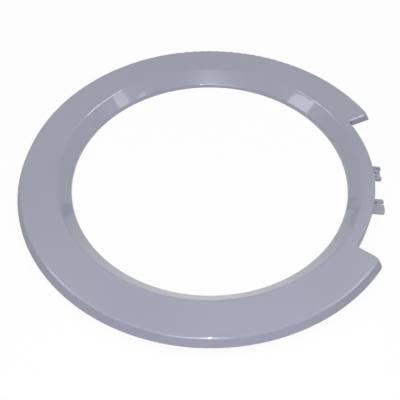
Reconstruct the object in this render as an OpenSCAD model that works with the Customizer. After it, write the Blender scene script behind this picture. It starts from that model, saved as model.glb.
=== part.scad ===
// Outer frame of a front-loading washing machine's door.
// One moulded plastic ring trims the glass: a flat face, a sloping funnel down to the
// opening, and a leaning skirt round the outside. A notch on one side makes room for the
// hinge. The frame lies on its back: +Z comes out of the face, +X points at the hinge, and
// the origin is the centre of the opening at the back edge of its lip.

/* [Ring] */
// Diameter of the opening at its lip
opening_d = 277; // [250:1:310]
// Width of the funnel, from its lip to the face
funnel_w = 12.5; // [10:0.5:15]
// Distance from where the funnel meets the face to the wall behind the notch
channel_w = 11.5; // [10:0.5:15]
// Depth of the notch, from the wall behind it to the bottom edge of the skirt
notch_depth = 27.5; // [24:0.5:40]
// Height from the back edge of the lip to the face
frame_h = 16.5; // [15:0.5:22]
// Thickness of every wall
wall = 2.5; // [1.8:0.1:2.8]

/* [Skirt] */
// Depth of the skirt below the face
skirt_h = 8.3; // [6.5:0.1:11]
// Lean of the skirt away from upright, in degrees
skirt_lean = 29; // [0:1:35]
// Radius of the rounded edge between the face and the walls round it
crease_r = 2.5; // [2:0.1:3.5]
// Least radius inside a rounded edge
inner_r = 0.5; // [0.3:0.1:1]

/* [Funnel] */
// Height at which the funnel meets the upright lip of the opening
lip_h = 3.5; // [3:0.1:6]
// Radius of the rounded edge between the face and the funnel
funnel_crease_r = 3.2; // [2:0.1:4.5]
// Radius of the rounded edge between the funnel and the lip
lip_r = 4; // [3:0.1:6]

/* [Hinge notch] */
// Angle from the hinge axis to each end of the notch
notch_angle = 29.7; // [24:0.1:36]
// Radius of the face's outer corners, at the start of their rounded edge
corner_r = 3; // [2:0.1:6]
// Radius in plan of the slight bow of each end wall
end_wall_r = 400; // [200:10:800]
// Radius of the fillets where the notch meets the wall behind it
fillet_r = 3; // [2:0.1:4]
// Gap between each end wall of the notch and the wall behind it
relief_w = 3.4; // [2:0.1:6]

/* [Hinge tabs] */
// Distance of each tab's middle from the hinge axis
tab_offset = 21.3; // [16:0.1:30]
// Width of each tab
tab_w = 17.6; // [15:0.1:20]
// How far the tabs reach from the wall behind the notch
tab_l = 9.9; // [8:0.1:15]
// Thickness of the tabs
tab_t = 2.5; // [2:0.1:3.5]
// Radius of the tabs' outer corners
tab_corner_r = 1.6; // [1:0.1:2]
// Distance from the wall behind the notch to the slot through the upper tab
slot_gap = 3; // [1:0.1:3.5]
// Length of the slot through the upper tab
slot_l = 5.2; // [4:0.1:6]
// Width of the slot through the upper tab
slot_w = 2.4; // [2:0.1:3]
// Depth and length of the hollow along the upper tab's outer edge
scallop_depth = 1.3; // [0.5:0.1:1.6]
scallop_l = 9.7; // [6:0.1:11]
// Width of the window and of the open notch beside it in the lower tab
window_w = 3.2; // [2.5:0.1:3.5]
// Width of the lowered strip along one side of the lower tab
strip_w = 4.4; // [3:0.1:5]

/* [Back of the frame] */
// Height of the locating wall's back edge above that of the lip
collar_lift = 0.5; // [0.3:0.1:3]
// Number of screw bosses on their circle
boss_count = 8; // [6:2:12]
// Distance from the locating wall to the middle of each screw boss
boss_inset = 6; // [5:0.1:7]
// Diameter of a screw boss
boss_d = 8.6; // [7:0.1:9]
// Diameter of the pilot hole in a boss
pilot_d = 3.2; // [2.5:0.1:3.6]
// Depth of the pilot hole
pilot_depth = 10; // [7:0.5:11]
// Height of a boss's seat above the back edge of the lip
boss_lift = 1.5; // [1:0.1:3]
// Angle between neighbouring ribs behind the face
rib_step = 11.25; // [9:0.25:15]
// Thickness of a rib
rib_t = 1.6; // [1:0.1:2]
// Depth of a rib below the underside of the face
rib_h = 4.5; // [3:0.1:6]

/* [Hidden] */
$fn = 128;

// How far a cut runs past the surface that it opens
past = 1;
// Fillets and outer corners stand this far into the walls that they join, and each corner
// turns corner_lap degrees into them, to cross them cleanly
blend = 0.1;
corner_lap = 4;
// A sloping side starts a little inside its rounded edge, at this share of the radius, and
// the rounding laps past it by foot_lap degrees, to cross it cleanly
foot_share = 0.995;
foot_lap = 12;

// Direction in the plan view, as a unit vector
function heading(angle) = [cos(angle), sin(angle)];

// Rounded to a thousandth, so that edges that meet share every digit
function to_thousandth(value) = round(1000 * value) / 1000;

// Angle between the first two sides of a triangle, from the lengths of all three
function side_angle(a, b, c) = acos((a * a + b * b - c * c) / (2 * a * b));

// Direction of a vector in the plan view
function heading_of(v) = atan2(v.y, v.x);

skirt_z = frame_h - skirt_h;
opening_r = opening_d / 2;
funnel_r = opening_r + funnel_w;
// Outer radius of the locating wall, which shows behind the notch
hinge_wall_r = funnel_r + channel_w;
outer_r = hinge_wall_r + notch_depth;
// Slope of the funnel below the face, from the widths and heights that it joins
funnel_slope = atan2(frame_h - lip_h, funnel_w);

// How far the skirt leads out from where the face's rounded edge starts
skirt_run = (crease_r + (skirt_h - crease_r) * sin(skirt_lean)) / cos(skirt_lean);
// Radius of the circle where the flat face ends and its rounded outer edge starts
face_r = to_thousandth(outer_r - skirt_run);
// Radius where the flat face ends behind the notch
flange_r = hinge_wall_r - crease_r;
// The plate beside the funnel ends here, and the face plate overlaps it
plate_r = flange_r - past;
plate_inner_r = plate_r - past;

// Each outer corner turns about a point that lies corner_r inside both of its edges, on a
// line from the centre of the ring at corner_angle
corner_centre_r = face_r - corner_r;
corner_angle = to_thousandth(notch_angle + asin((crease_r + corner_r) / face_r));
corner_centre = corner_centre_r * heading(corner_angle);
// Each end wall turns about a far point on the rim's side, square to that line
end_heading = corner_angle - 90;
end_centre = corner_centre - (end_wall_r - corner_r) * heading(end_heading);

// Each fillet turns about a point in the notch, fillet_r from both walls less the blend
fillet_centre_r = hinge_wall_r + fillet_r - blend;
fillet_reach = end_wall_r + crease_r + fillet_r - blend;
fillet_angle = heading_of(end_centre)
    - side_angle(fillet_centre_r, norm(end_centre), fillet_reach);
fillet_centre = fillet_centre_r * heading(fillet_angle);
fillet_start = heading_of(end_centre - fillet_centre);
// The edge along the wall behind the notch runs this far into the fillets
tuck = 0.7 * fillet_r;

tab_reach = hinge_wall_r + tab_l;
rib_count = floor((360 - 2 * notch_angle) / rib_step) - 1;
boss_circle_r = hinge_wall_r - wall - boss_inset;

// Radius of a rounded edge on the skin that lies inset below the outer one
function round_at(inset, radius) = inset == 0 ? radius : max(radius - inset, inner_r);

// Slice of a disc between two headings
module slice(centre, radius, start, end)
    translate(centre)
        intersection() {
            circle(radius);
            polygon([[0, 0], 2 * radius * heading(start), 2 * radius * heading(end)]);
        }

// Section of everything under the funnel and the flat face beside it, set in by inset
module funnel_section(inset, bottom, outer_x) {
    top = frame_h - inset;
    lip_x = opening_r + inset;
    face_corner = [funnel_r + inset * tan(funnel_slope / 2), top];
    lip_corner = [lip_x, lip_h - inset * tan(45 - funnel_slope / 2)];
    face_round = round_at(inset, funnel_crease_r);
    lip_round = round_at(inset, lip_r);
    face_centre = [face_corner.x + face_round * tan(funnel_slope / 2), top - face_round];
    lip_centre = [lip_x + lip_round, lip_corner.y - lip_round * tan(45 - funnel_slope / 2)];
    off_funnel = heading(90 + funnel_slope);
    polygon([
        [lip_x, bottom],
        [lip_x, lip_centre.y],
        lip_centre + foot_share * lip_round * off_funnel,
        face_centre + foot_share * face_round * off_funnel,
        [face_centre.x, top],
        [outer_x, top],
        [outer_x, bottom]
    ]);
    slice(lip_centre, lip_round, 180, 90 + funnel_slope - foot_lap);
    slice(face_centre, face_round, 90 + funnel_slope + foot_lap, 90);
}

// Funnel and the flat face beside it, all the way round
module funnel_ring()
    rotate_extrude()
        difference() {
            funnel_section(0, 0, plate_r);
            funnel_section(wall, -past, plate_r + past);
        }

// Locating wall behind the face, which also closes the ring behind the notch
module locating_wall()
    rotate_extrude()
        translate([hinge_wall_r - wall, collar_lift])
            square([wall, frame_h - wall - collar_lift]);

// Section of the face's edge: x runs outwards from where its rounding starts
module edge_section(inset, lean, inner_x, bottom) {
    half_turn = 45 - lean / 2;
    round_r = round_at(inset, crease_r);
    top = frame_h - inset;
    centre = [(crease_r - inset - round_r) * tan(half_turn), top - round_r];
    foot = centre + round_r * heading(lean);
    share = lean == 0 ? 1 : foot_share;
    lap = lean == 0 ? 0 : foot_lap;
    polygon([
        [inner_x, bottom],
        [inner_x, top],
        [centre.x, top],
        centre + share * round_r * heading(lean),
        [foot.x + (foot.y - bottom) * tan(lean), bottom]
    ]);
    slice(centre, round_r, 90, lean - lap);
}

// Section of the face's edge where no wall stands under it
module plate_edge_section(back)
    intersection() {
        edge_section(0, 0, -back, 0);
        translate([-back, frame_h - wall])
            square([back + crease_r + past, wall + past]);
    }

// Places what it holds at a point in the plan view; two steps keep every digit of it
module at_point(point) {
    near = [to_thousandth(point.x), to_thousandth(point.y)];
    translate(near)
        translate(point - near)
            children();
}

// End of the rim beside the notch: its outer corner and its end wall
module rim_end(inset, bottom, overrun) {
    end_turn = atan((corner_centre_r - plate_r + overrun) / end_wall_r);
    intersection() {
        at_point(corner_centre)
            rotate_extrude(angle = 90 + 2 * corner_lap, start = end_heading - corner_lap)
                intersection() {
                    translate([corner_r - blend, 0])
                        edge_section(inset, skirt_lean, -corner_r - past, bottom);
                    square([corner_r + skirt_run + past, frame_h + past]);
                }
        at_point(end_centre)
            translate([0, 0, bottom - past])
                cylinder(r = end_wall_r + crease_r - inset - blend, h = frame_h + 2 * past);
    }
    at_point(end_centre)
        rotate_extrude(angle = end_turn, start = end_heading - end_turn)
            translate([end_wall_r, 0])
                edge_section(inset, 0, -corner_r - past, bottom);
}

// Everything under the face and its outer edge, set in by inset; it ends inside the face
// plate, overrun further in for a body that is cut away
module rim_body(inset, bottom, overrun) {
    rotate_extrude(angle = 360 - 2 * corner_angle, start = corner_angle)
        translate([face_r, 0])
            edge_section(inset, skirt_lean, plate_inner_r - face_r - overrun, bottom);
    for (side = [0, 1])
        mirror([0, side, 0])
            rim_end(inset, bottom, overrun);
}

// Gap that parts an end wall of the notch from the wall behind it
module relief() {
    inner_turn = atan((corner_centre_r - plate_r + 4 * past) / end_wall_r);
    outer_turn = atan((corner_centre_r - hinge_wall_r - relief_w) / end_wall_r);
    at_point(end_centre)
        rotate_extrude(angle = inner_turn - outer_turn, start = end_heading - inner_turn)
            translate([end_wall_r + crease_r - wall - past, 0])
                square([wall + 2 * past, frame_h - wall]);
}

// Face plate, skirt and end walls of the notch
module rim_shell()
    difference() {
        rim_body(0, skirt_z, 0);
        rim_body(wall, skirt_z - past, 3 * past);
        for (side = [0, 1])
            mirror([0, side, 0])
                relief();
    }

// Filleted edge of the face plate in the notch's inner corner
module notch_corner()
    translate(fillet_centre)
        rotate_extrude(angle = fillet_angle + 180 - fillet_start, start = fillet_start)
            translate([fillet_r + crease_r, 0])
                mirror([1, 0])
                    plate_edge_section(fillet_r);

// Rounded edge of the face along the wall behind the notch
module notch_edge() {
    end_angle = fillet_angle + atan(tuck / hinge_wall_r);
    rotate_extrude(angle = 2 * end_angle, start = -end_angle)
        translate([flange_r, 0])
            plate_edge_section(2 * past);
}

// Outline of a hinge tab, centred on its own middle line
module tab_outline() {
    inner = hinge_wall_r - wall;
    straight = tab_reach - tab_corner_r;
    translate([inner - crease_r, -tab_w / 2])
        square([straight - inner + crease_r, tab_w]);
    translate([straight - past, tab_corner_r - tab_w / 2])
        square([tab_corner_r + past, tab_w - 2 * tab_corner_r]);
    for (side = [-1, 1])
        translate([straight, side * (tab_w / 2 - tab_corner_r)])
            circle(tab_corner_r);
}

// Upper hinge tab: slotted near its root, hollowed along its outer edge, with a blind pocket
module upper_tab() {
    pocket = [3, 2.6, tab_t / 2];
    pocket_edge = 1.9;
    translate([0, tab_offset, collar_lift])
        difference() {
            linear_extrude(tab_t)
                difference() {
                    tab_outline();
                    translate([tab_reach - scallop_depth, -scallop_l / 2])
                        square([scallop_depth + past, scallop_l]);
                    translate([hinge_wall_r + slot_gap, -slot_l / 2 - past])
                        square([slot_w, slot_l]);
                }
            translate([tab_reach - pocket_edge, tab_w / 2 - pocket_edge, tab_t / 2])
                translate([-pocket.x, -pocket.y, 0])
                    cube(pocket + [0, 0, past]);
        }
}

// Lower hinge tab: a window and an open notch beside a lowered strip
module lower_tab() {
    window_lap = 0.3;
    window_y = tab_w / 2 - strip_w - window_w + window_lap;
    strip_drop = 0.3 * tab_t;
    translate([0, -tab_offset, collar_lift])
        difference() {
            linear_extrude(tab_t)
                difference() {
                    tab_outline();
                    translate([hinge_wall_r, window_y])
                        square(window_w);
                    translate([tab_reach - window_w, window_y])
                        square([window_w + past, window_w]);
                }
            translate([hinge_wall_r - wall / 2, tab_w / 2 - strip_w, tab_t - strip_drop])
                cube([tab_reach, strip_w + past, tab_t]);
        }
}

// Both tabs, kept clear of the channel inside the locating wall
module hinge_tabs()
    difference() {
        union() {
            upper_tab();
            lower_tab();
        }
        translate([0, 0, -past])
            cylinder(r = hinge_wall_r - wall / 2, h = frame_h);
    }

// Rib behind the face, from the locating wall to the skirt
module face_rib() {
    root_r = hinge_wall_r - wall / 2;
    top = frame_h - wall / 2;
    bottom = frame_h - wall - rib_h;
    tip_r = face_r + (crease_r - wall / 2) * tan(45 - skirt_lean / 2);
    rotate([90, 0, 0])
        translate([0, 0, -rib_t / 2])
            linear_extrude(rib_t)
                polygon([
                    [root_r, bottom],
                    [root_r, top],
                    [tip_r, top],
                    [tip_r + (top - bottom) * tan(skirt_lean), bottom]
                ]);
}

// Ribs between the locating wall and the skirt, spread evenly over the rim
module face_ribs()
    for (i = [0 : rib_count - 1])
        rotate(180 + (i - (rib_count - 1) / 2) * rib_step)
            face_rib();

// Screw boss in the channel behind the funnel, webbed to the locating wall
module screw_boss()
    translate([boss_circle_r, 0, boss_lift]) {
        cylinder(d = boss_d, h = frame_h - wall / 2 - boss_lift);
        translate([0, -rib_t / 2, 0])
            cube([hinge_wall_r - wall / 2 - boss_circle_r, rib_t, frame_h - wall / 2 - boss_lift]);
    }

// Turns what it holds to each boss's place, with none on the hinge axis
module at_bosses()
    for (i = [0 : boss_count - 1])
        rotate((i + 0.5) * 360 / boss_count)
            children();

// The whole moulding
module door_frame()
    color([0.62, 0.63, 0.69])
        difference() {
            union() {
                funnel_ring();
                locating_wall();
                rim_shell();
                notch_edge();
                for (side = [0, 1])
                    mirror([0, side, 0])
                        notch_corner();
                hinge_tabs();
                face_ribs();
                at_bosses()
                    screw_boss();
            }
            at_bosses()
                translate([boss_circle_r, 0, boss_lift - past])
                    cylinder(d = pilot_d, h = pilot_depth + past);
        }

door_frame();
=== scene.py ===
"""Looks of a washing machine's outer door frame, lying face up on a white studio floor."""
from math import acos, asin, atan2, cos, degrees, hypot, radians, sin, tan

import bpy
import numpy as np
from mathutils import Matrix, Vector


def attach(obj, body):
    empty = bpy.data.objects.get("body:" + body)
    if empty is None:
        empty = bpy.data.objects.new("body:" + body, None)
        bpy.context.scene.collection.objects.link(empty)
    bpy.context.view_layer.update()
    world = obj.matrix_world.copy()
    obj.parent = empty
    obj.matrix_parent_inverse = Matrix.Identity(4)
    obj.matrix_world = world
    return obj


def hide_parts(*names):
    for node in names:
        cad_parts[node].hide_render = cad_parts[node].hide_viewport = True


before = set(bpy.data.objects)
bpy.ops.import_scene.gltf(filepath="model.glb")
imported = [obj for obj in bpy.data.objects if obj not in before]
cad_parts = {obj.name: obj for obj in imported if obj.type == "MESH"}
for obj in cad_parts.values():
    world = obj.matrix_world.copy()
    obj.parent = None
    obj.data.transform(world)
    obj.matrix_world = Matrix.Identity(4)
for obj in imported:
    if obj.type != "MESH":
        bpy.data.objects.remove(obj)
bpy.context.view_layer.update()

MM = 0.001
# Straight up, as an angle from straight outwards
UP = radians(90)
WHITE = (1, 1, 1, 1)

# Sizes of the form, in mm, as the part's source has them
FACE_Z = 16.5
LIP_Z = 3.5
SKIRT_Z = 8.2
OPENING_R = 138.5
FUNNEL_R = 151.0
HINGE_WALL_R = 162.5
OUTER_R = 190.0
LIP_EDGE_R = 4.0
FUNNEL_EDGE_R = 3.2
FACE_EDGE_R = 2.5
CORNER_R = 3.0
END_WALL_R = 400.0
FILLET_R = 3.0
# The corners and fillets of the notch stand this far into the walls that they join
BLEND = 0.1
SKIRT_LEAN = radians(29)
NOTCH_ANGLE = radians(29.7)
FUNNEL_SLOPE = atan2(FACE_Z - LIP_Z, FUNNEL_R - OPENING_R)
# The middle of the face's rounded edge lies at this height, and the skirt leads this far out from it
FACE_EDGE_Z = FACE_Z - FACE_EDGE_R
SKIRT_RUN = (FACE_EDGE_R + (FACE_EDGE_Z - SKIRT_Z) * sin(SKIRT_LEAN)) / cos(SKIRT_LEAN)
FACE_R = round(OUTER_R - SKIRT_RUN, 3)

# Silver-grey of the plastic where its flow marks are darkest and lightest
SILVER_DARK = (0.275, 0.283, 0.363, 1)
SILVER_LIGHT = (0.291, 0.299, 0.381, 1)
# How far the waves of the moulding rise, and the orange peel as a share of that
WAVE_HEIGHT = 1 * MM
PEEL_SHARE = 0.002

# The floor's paint, how white the camera sees it, and how much painted shade dims its reflections outside
# the ring
FLOOR_PAINT = (0.82, 0.82, 0.82, 1)
FLOOR_WHITE = 0.93
FLOOR_REFLECTED_SHADE = 0.55
FLOOR_HALF_WIDTH = 6.0
# The floor shows dark in gaps of about this width
GAP_WIDTH = 4 * MM
# Strength of the even light, and of the dim room in front as the plastic's reflections show it
SKY_LEVEL = 0.26
ROOM_LEVEL = 0.65

# Camera, from the outlines in the photo: where it stands, where it looks and how it leans
CAMERA_PLACE = Vector((39.63, -400.48, 461.5)) * MM
CAMERA_PITCH = radians(51.05)
CAMERA_HEADING = radians(97.05)
CAMERA_ROLL = radians(-0.75)
FOCAL_PIXELS = 602.3
FRAME_PIXELS = 400
SENSOR = 36.0

# The camera's own flash stands this far above it
FLASH_LIFT = Vector((0, 0, 20)) * MM
FLASH_POWER = 5.0
FLASH_RADIUS = 22 * MM
# Soft lamps: name, bearing and height in degrees, distance in m, power in W, and both sides in m
SOFT_LAMPS = (
    ("front", -90, 25, 3.0, 22.0, 1.5, 1.0),
    ("soft_left", -163, 38, 1.2, 0.9, 0.35, 0.25),
    ("soft_right", -10, 39, 1.2, 0.7, 0.35, 0.25),
    ("high_left", 152, 60, 3.0, 15.0, 0.52, 0.74),
    ("high_right", 39, 60, 3.0, 20.0, 0.52, 0.74),
)


class Wire:
    """An output in a node tree; arithmetic on it adds the Math nodes."""

    def __init__(self, finish, socket):
        self.finish = finish
        self.socket = socket

    def math(self, operation, *values):
        return self.finish.node("Math", {"operation": operation}, dict(enumerate(values)))

    def __add__(self, other):
        return self.math("ADD", self, other)

    def __rsub__(self, other):
        return self.math("SUBTRACT", other, self)

    def __mul__(self, other):
        return self.math("MULTIPLY", self, other)

    __radd__ = __add__
    __rmul__ = __mul__

    def rise(self, low, high):
        """0 below low, 1 above high, and a smooth rise between them."""
        ends = {"Value": self, "From Min": low, "From Max": high}
        return self.finish.node("MapRange", {"interpolation_type": "SMOOTHSTEP"}, ends)


class Finish:
    """A material, or the world, built from nodes."""

    def __init__(self, owner):
        self.owner = owner
        owner.use_nodes = True
        self.tree = owner.node_tree
        self.tree.nodes.clear()

    def node(self, kind, settings=None, inputs=None, output=0):
        """Adds a node: its settings first, then the value or link of each socket."""
        made = self.tree.nodes.new("ShaderNode" + kind)
        for name, value in (settings or {}).items():
            setattr(made, name, value)
        for name, value in (inputs or {}).items():
            if isinstance(value, Wire):
                self.tree.links.new(value.socket, made.inputs[name])
            else:
                made.inputs[name].default_value = value
        return Wire(self, made.outputs[output]) if made.outputs else made

    def vector(self, operation, *values, output="Vector"):
        """The Vector Math node of that operation."""
        return self.node("VectorMath", {"operation": operation}, dict(enumerate(values)), output)

    def mix(self, factor, first, second):
        """first where the factor is 0, second where it is 1."""
        return self.node("MixShader", {}, {0: factor, 1: first, 2: second})

    def seen(self, direct, mirrored):
        """direct on the camera's rays, mirrored in reflections and glass, and 0 on light's own bounces."""
        kinds = ("Is Camera Ray", "Is Glossy Ray", "Is Transmission Ray")
        camera, glossy, through = (self.node("LightPath", output=kind) for kind in kinds)
        return camera.math("MAXIMUM", camera * direct, glossy.math("MAXIMUM", glossy, through) * mirrored)


def moulded_plastic():
    """Gloss silver-grey plastic with soft flow marks, a faint orange peel and slight waves; duller behind.

    The waves run down the funnel a little askew, as the moulding isn't quite even. They are noise of the
    unit vector from the ring's middle plus 3 times the place in m, and fade to a fifth on the face. The base
    has the sharp gloss, which the waves bend, and the coat is a broad sheen.
    """
    finish = Finish(bpy.data.materials.new("silver_plastic"))
    place = finish.node("TexCoord", output="Object")
    normal = finish.node("TexCoord", output="Normal")

    def noise(scale, detail, where=place):
        return finish.node("TexNoise", {}, {"Vector": where, "Scale": scale, "Detail": detail})

    flow = noise(7.0, 1.0).rise(0.3, 0.7)
    smudge = noise(14.0, 2.0).rise(0.35, 0.75)
    peel = noise(420.0, 2.0)
    level_place = finish.vector("MULTIPLY", place, (1, 1, 0))
    bearing = finish.vector("NORMALIZE", level_place)
    reach = finish.vector("LENGTH", level_place, output="Value")
    askew = finish.vector("MULTIPLY_ADD", place, (3, 3, 3), bearing)
    waves = noise(7.0, 0.0, askew) * (1.0 - 0.8 * reach.rise(148 * MM, 156 * MM))
    facing = finish.node("SeparateXYZ", {}, {"Vector": normal}, "Z")
    behind = (0.0 - facing).rise(0.2, 0.6)

    tones = {"Factor": flow, "A": SILVER_DARK, "B": SILVER_LIGHT}
    relief = {"Height": waves + PEEL_SHARE * peel, "Strength": 1.0, "Distance": WAVE_HEIGHT}
    shader = finish.node(
        "BsdfPrincipled",
        {},
        {
            "Base Color": finish.node("Mix", {"data_type": "RGBA"}, tones, "Result"),
            "Roughness": 0.05 + 0.02 * smudge + 0.16 * behind,
            "Normal": finish.node("Bump", {}, relief),
            "Metallic": 0.0,
            "IOR": 1.5,
            "Specular IOR Level": 0.55,
            "Coat Weight": 0.6,
            "Coat Roughness": 0.24,
        },
    )
    finish.node("OutputMaterial", {}, {"Surface": shader})
    return finish.owner


def merged(source, name, step=0.0005 * MM):
    """Copy of a CAD node with its loose triangles joined: corners that share a place become one vertex."""
    mesh = source.data
    corners = np.empty(len(mesh.vertices) * 3, np.float32)
    mesh.vertices.foreach_get("co", corners)
    faces = np.empty(len(mesh.polygons) * 3, np.int32)
    mesh.polygons.foreach_get("vertices", faces)
    corners = corners.reshape(-1, 3)
    _, first, same = np.unique(np.round(corners / step), axis=0, return_index=True, return_inverse=True)
    faces = same.ravel()[faces].reshape(-1, 3)
    whole = (faces[:, 0] != faces[:, 1]) & (faces[:, 1] != faces[:, 2]) & (faces[:, 2] != faces[:, 0])
    made = bpy.data.meshes.new(name)
    made.from_pydata(corners[first], [], faces[whole])
    made.update()
    return made


def show(mesh, name, material, smooth_deg=32.0):
    """Puts a mesh into the scene in its material, smooth but for its sharp edges."""
    piece = bpy.data.objects.new(name, mesh)
    bpy.context.scene.collection.objects.link(piece)
    mesh.materials.append(material)
    mesh.shade_smooth()
    mesh.set_sharp_from_angle(angle=radians(smooth_deg))
    return piece


def heading(angle):
    """Unit vector in the plan view."""
    return np.array([cos(angle), sin(angle)])


def notch_axes():
    """Places in the plan view where the corner, the end wall and the fillet beside the notch turn about.

    The corner's lies CORNER_R inside the face's edge and inside the end wall's. The end wall's is far off,
    square to the line from the ring's middle to the corner's. The fillet's lies its radius off the end wall
    and off the wall behind the notch, so its bearing follows from the three sides of a triangle.
    """
    corner_angle = radians(round(degrees(NOTCH_ANGLE + asin((FACE_EDGE_R + CORNER_R) / FACE_R)), 3))
    corner = (FACE_R - CORNER_R) * heading(corner_angle)
    end_wall = corner - (END_WALL_R - CORNER_R) * heading(corner_angle - UP)
    to_fillet = HINGE_WALL_R + FILLET_R - BLEND
    to_end_wall = hypot(*end_wall)
    apart = END_WALL_R + FACE_EDGE_R + FILLET_R - BLEND
    squares = to_fillet**2 + to_end_wall**2 - apart**2
    between = acos(squares / (2 * to_fillet * to_end_wall))
    fillet = to_fillet * heading(atan2(end_wall[1], end_wall[0]) - between)
    return corner, end_wall, fillet


def sides():
    """The form's sides as two lists, of rounded edges and of straight sides.

    A rounded edge has its axis, how far off it and how high the rounding's middle lies, and its radius. A
    straight side has its axis, how far off it and how high one of its points lies, and the angle that the
    side faces up from outwards.
    """
    ring = np.zeros(2)
    corner, end_wall, fillet = notch_axes()
    corner_reach = CORNER_R - BLEND
    rounded = (
        (ring, OPENING_R + LIP_EDGE_R, LIP_Z - LIP_EDGE_R * tan((UP - FUNNEL_SLOPE) / 2), LIP_EDGE_R),
        (ring, FUNNEL_R + FUNNEL_EDGE_R * tan(FUNNEL_SLOPE / 2), FACE_Z - FUNNEL_EDGE_R, FUNNEL_EDGE_R),
        (ring, FACE_R, FACE_EDGE_Z, FACE_EDGE_R),
        (ring, HINGE_WALL_R - FACE_EDGE_R, FACE_EDGE_Z, FACE_EDGE_R),
        (corner, corner_reach, FACE_EDGE_Z, FACE_EDGE_R),
        (end_wall, END_WALL_R, FACE_EDGE_Z, FACE_EDGE_R),
        (fillet, FILLET_R + FACE_EDGE_R, FACE_EDGE_Z, FACE_EDGE_R),
    )
    straight = (
        (ring, FUNNEL_R, FACE_Z, UP),
        (ring, FUNNEL_R, FACE_Z, UP + FUNNEL_SLOPE),
        (ring, OUTER_R, SKIRT_Z, SKIRT_LEAN),
        (corner, corner_reach + SKIRT_RUN, SKIRT_Z, SKIRT_LEAN),
        (end_wall, END_WALL_R + FACE_EDGE_R, SKIRT_Z, 0),
        (ring, HINGE_WALL_R, SKIRT_Z, 0),
        (ring, OPENING_R, LIP_Z, 2 * UP),
    )
    return rounded, straight


def turned_normals(corners):
    """Yields, for each side of the form, how far each corner lies off it and the side's normal there.

    A side is a line or an arc turned about an upright axis, on both hands of the middle. With u the unit
    vector from the axis, a line that faces an angle t up from u has n = (u cos t, sin t). On an arc,
    n = (p - q) / |p - q|, with q the point nearest to p on the circle that the arc's middle draws.
    """
    rounded, straight = sides()

    def about(axis, hand):
        away = corners[:, :2] - axis * (1, hand)
        reach = np.linalg.norm(away, axis=1)
        return away / reach[:, None], reach

    for hand in (1, -1):
        for axis, ring, height, radius in rounded:
            outwards, reach = about(axis, hand)
            off = np.column_stack([outwards * (reach - ring)[:, None], corners[:, 2] - height])
            size = np.linalg.norm(off, axis=1)
            yield np.abs(size - radius), off / size[:, None]
        for axis, at_reach, at_height, tilt in straight:
            outwards, reach = about(axis, hand)
            gap = (reach - at_reach) * cos(tilt) + (corners[:, 2] - at_height) * sin(tilt)
            yield np.abs(gap), np.column_stack([outwards * cos(tilt), np.full(len(reach), sin(tilt))])


def face_truly(mesh, off_by=0.06, alike=0.3):
    """Gives each triangle on a side of the form that side's own normals, so highlights run unbroken.

    A triangle is on a side if its three corners lie within off_by mm of it and it faces the same way, with
    the cosine between its own normal and the side's over alike.
    """
    corners = np.empty(len(mesh.vertices) * 3)
    mesh.vertices.foreach_get("co", corners)
    corners = corners.reshape(-1, 3) / MM
    faces = np.empty(len(mesh.loops), np.int32)
    mesh.loops.foreach_get("vertex_index", faces)
    faces = faces.reshape(-1, 3)
    normals = np.empty(len(mesh.loops) * 3)
    mesh.corner_normals.foreach_get("vector", normals)
    normals = normals.reshape(-1, 3, 3)
    a, b, c = corners[faces].transpose(1, 0, 2)
    flat = np.cross(b - a, c - a)
    flat /= np.maximum(np.linalg.norm(flat, axis=1), 1e-12)[:, None]
    for gap, normal in turned_normals(corners):
        close = (gap[faces] < off_by).all(axis=1)
        same_way = (normal[faces].mean(axis=1) * flat).sum(axis=1) > alike
        on_side = close & same_way
        normals[on_side] = normal[faces[on_side]]
    mesh.normals_split_custom_set(normals.reshape(-1, 3))


def studio_floor():
    """White floor: the camera sees it nearly white, with a soft shadow left in and narrow gaps dark.

    Reflections show it white inside the opening, and dimmer from under the ring outwards, where painted
    shade stands in for the ring's shadow on the floor.
    """
    finish = Finish(bpy.data.materials.new("studio_floor"))
    paint = finish.node("BsdfDiffuse", {}, {"Color": FLOOR_PAINT})
    white = finish.node("Emission", {}, {"Color": WHITE})
    place = finish.node("TexCoord", output="Object")
    # Painted shade: the glow that reflections see dims from under the ring outwards, in place of the ring's
    # shadow on the floor
    shaded_outside = finish.vector("LENGTH", place, output="Value").rise(125 * MM, 170 * MM)
    image = finish.node("Emission", {}, {"Color": 1.0 - FLOOR_REFLECTED_SHADE * shaded_outside})
    clear = finish.node("AmbientOcclusion", {}, {"Distance": GAP_WIDTH}, "AO").rise(0.2, 0.6)
    direct = finish.mix(finish.seen(FLOOR_WHITE * clear, 0), paint, white)
    finish.node("OutputMaterial", {}, {"Surface": finish.mix(finish.seen(0, 1), direct, image)})
    w = FLOOR_HALF_WIDTH
    mesh = bpy.data.meshes.new("floor")
    mesh.from_pydata([(-w, -w, 0), (w, -w, 0), (w, w, 0), (-w, w, 0)], [], [(0, 1, 2, 3)])
    mesh.materials.append(finish.owner)
    floor = bpy.data.objects.new("floor", mesh)
    bpy.context.scene.collection.objects.link(floor)


def studio_world():
    """Even light all round. The camera sees white, and so do reflections but for a dim room in front."""
    world = bpy.data.worlds.new("studio")
    bpy.context.scene.world = world
    finish = Finish(world)
    light, white, room = (
        finish.node("Background", {}, {"Color": WHITE, "Strength": strength})
        for strength in (SKY_LEVEL, 1.0, ROOM_LEVEL)
    )
    way = finish.node("TexCoord", output="Generated")
    far = finish.node("SeparateXYZ", {}, {"Vector": way}, "Y").rise(-0.3, 0.1)
    high = finish.node("SeparateXYZ", {}, {"Vector": way}, "Z").rise(0.15, 0.45)
    in_room = (1.0 - far) * (1.0 - high)
    plain = finish.mix(finish.seen(1, 1), light, white)
    finish.node("OutputWorld", {}, {"Surface": finish.mix(finish.seen(0, in_room), plain, room)})


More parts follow.
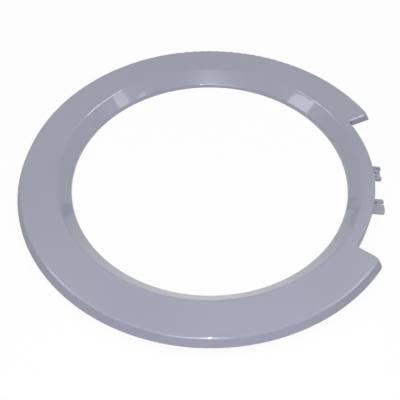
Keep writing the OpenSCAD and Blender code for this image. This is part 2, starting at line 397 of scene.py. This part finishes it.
def lamp(name, kind, place, power):
    """Lamp that faces the middle of the frame. Reflections show it, but the camera doesn't see it."""
    data = bpy.data.lights.new(name, kind)
    data.energy = power
    made = bpy.data.objects.new(name, data)
    made.location = place
    made.rotation_euler = (-place).to_track_quat("-Z", "Y").to_euler()
    made.visible_camera = False
    bpy.context.scene.collection.objects.link(made)
    return data


def around(bearing_deg, height_deg, distance):
    """Point at that bearing from the middle of the frame."""
    bearing, height = radians(bearing_deg), radians(height_deg)
    return Vector((cos(bearing) * cos(height), sin(bearing) * cos(height), sin(height))) * distance


def studio_lamps():
    """The flash at the camera, and the soft lamps whose reflections lie on the plastic."""
    flash = lamp("flash", "POINT", CAMERA_PLACE + FLASH_LIFT, FLASH_POWER)
    flash.shadow_soft_size = FLASH_RADIUS
    for name, bearing, height, distance, power, width, length in SOFT_LAMPS:
        soft = lamp(name, "AREA", around(bearing, height, distance), power)
        soft.shape = "RECTANGLE"
        soft.size = width
        soft.size_y = length


def photo_camera():
    """Camera that sees the frame as the photo shows it."""
    level = Vector((cos(CAMERA_HEADING), sin(CAMERA_HEADING), 0))
    forward = level * cos(CAMERA_PITCH) - Vector((0, 0, sin(CAMERA_PITCH)))
    right = forward.cross(Vector((0, 0, 1))).normalized()
    up = right.cross(forward)
    rolled_right = right * cos(CAMERA_ROLL) + up * sin(CAMERA_ROLL)
    rolled_up = up * cos(CAMERA_ROLL) - right * sin(CAMERA_ROLL)
    data = bpy.data.cameras.new("camera")
    data.sensor_width = SENSOR
    data.lens = FOCAL_PIXELS / FRAME_PIXELS * SENSOR
    camera = bpy.data.objects.new("camera", data)
    turn = Matrix((rolled_right, rolled_up, -forward)).transposed()
    camera.matrix_world = Matrix.Translation(CAMERA_PLACE) @ turn.to_4x4()
    bpy.context.scene.collection.objects.link(camera)
    bpy.context.scene.camera = camera


photo_camera()
studio_floor()
studio_world()
studio_lamps()

moulding = show(merged(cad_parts["door_frame"], "moulding"), "moulding", moulded_plastic())
face_truly(moulding.data)
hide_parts("door_frame")
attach(moulding, "root")

bpy.context.scene.view_settings.view_transform = "Standard"
bpy.context.view_layer.update()
